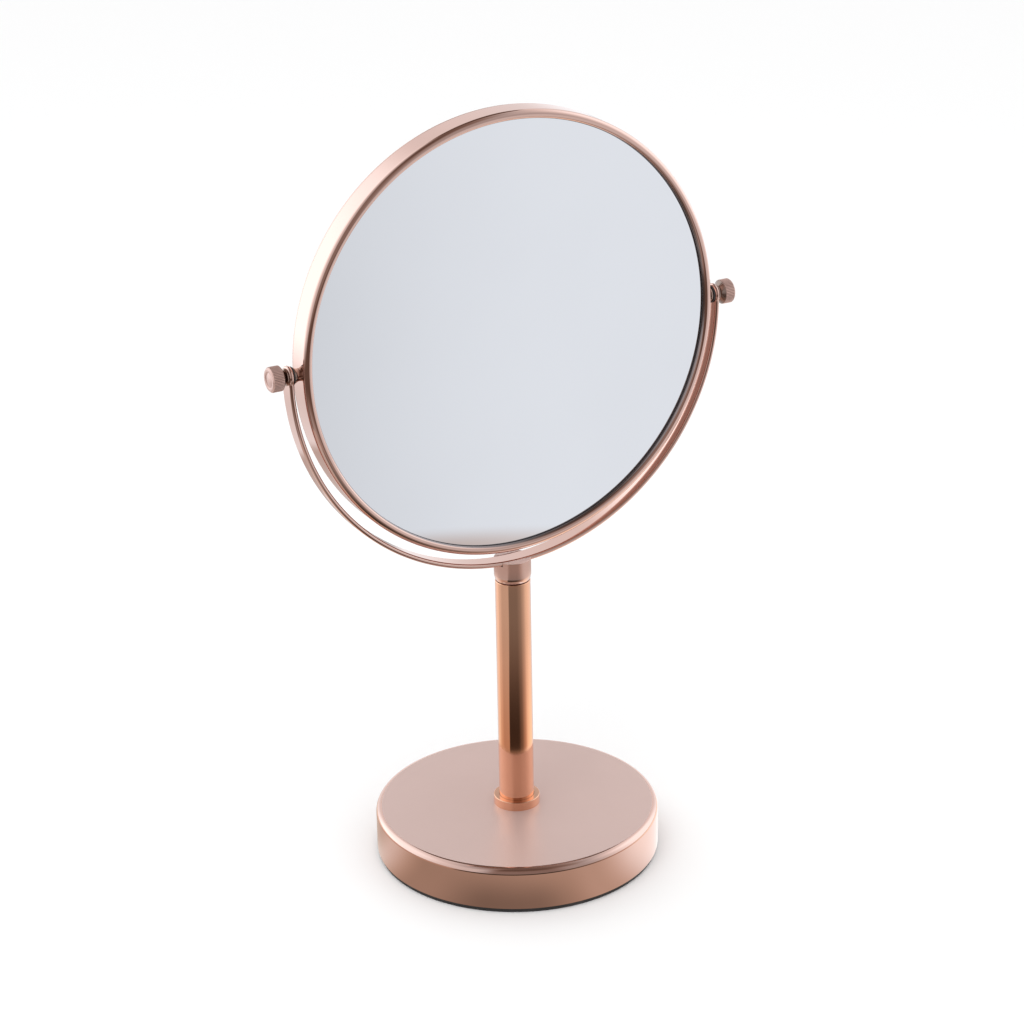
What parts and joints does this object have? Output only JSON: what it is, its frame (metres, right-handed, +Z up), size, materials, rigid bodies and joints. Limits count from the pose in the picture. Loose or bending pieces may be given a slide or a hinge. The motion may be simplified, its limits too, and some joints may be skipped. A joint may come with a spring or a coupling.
{
  "type": "pedestal swivel mirror",
  "caption": "Round double-sided table mirror in a half-ring yoke on a stem and weighted round base. The head turns over between knurled thumb screws; one side magnifies.",
  "frame": {"origin": "middle of the base's underside, on the table", "axes": "+Z up the stem, X along the pivot axis, -Y out of the plain glass"},
  "size_m": [0.227, 0.13, 0.35],
  "materials": {
    "rose_gold": "polished rose-gold plating on steel",
    "rose_gold_brass": "satin rose-gold plating on turned brass",
    "mirror_glass": "silvered glass",
    "black_rubber": "matte black rubber",
    "zinc_steel": "zinc-plated steel",
    "black_nylon": "moulded black nylon",
    "cast_iron": "raw casting"
  },
  "bodies": {
    "stand": {"base_shell": "rose_gold", "base_weight": "cast_iron", "base_plate": "zinc_steel", "foot_pad": "black_rubber", "stem_flange": "rose_gold", "stem_tube": "rose_gold", "foot_bush": "black_nylon", "tie_rod": "zinc_steel", "rod_washer": "zinc_steel", "rod_nut": "zinc_steel", "collar": "rose_gold", "yoke": "rose_gold", "yoke_screw": "zinc_steel"},
    "mirror_head": {"rim": "rose_gold", "rear_bezel": "rose_gold", "front_gasket": "black_rubber", "rear_gasket": "black_rubber", "plain_mirror": "mirror_glass", "magnifying_mirror": "mirror_glass", "mirror_spacer": "black_nylon", "left_pivot_boss": "rose_gold_brass", "right_pivot_boss": "rose_gold_brass", "left_friction_washer": "black_nylon", "right_friction_washer": "black_nylon"},
    "left_clamp": {"left_clamp_washer": "rose_gold_brass"},
    "left_screw": {"left_thumb_screw": "rose_gold_brass"},
    "right_clamp": {"right_clamp_washer": "rose_gold_brass"},
    "right_screw": {"right_thumb_screw": "rose_gold_brass"}
  },
  "joints": [
    {"name": "mirror_tilt", "type": "hinge", "parent": "stand", "child": "mirror_head", "pos_m": [0, 0, 0.25], "axis": [1, 0, 0], "continuous": true},
    {"name": "left_screw_travel", "type": "slide", "parent": "mirror_head", "child": "left_clamp", "axis": [-1, 0, 0], "range_m": [0, 0.00105]},
    {"name": "left_screw_turn", "type": "hinge", "parent": "left_clamp", "child": "left_screw", "pos_m": [-0.11, 0, 0.25], "axis": [-1, 0, 0], "range_deg": [0, 545]},
    {"name": "right_screw_travel", "type": "slide", "parent": "mirror_head", "child": "right_clamp", "axis": [1, 0, 0], "range_m": [0, 0.00105]},
    {"name": "right_screw_turn", "type": "hinge", "parent": "right_clamp", "child": "right_screw", "pos_m": [0.11, 0, 0.25], "axis": [1, 0, 0], "range_deg": [0, 545]}
  ],
  "couplings": [
    {"joint": "left_screw_turn", "follows": "left_screw_travel", "rad_per_m": 8976},
    {"joint": "right_screw_turn", "follows": "right_screw_travel", "rad_per_m": 8976}
  ]
}
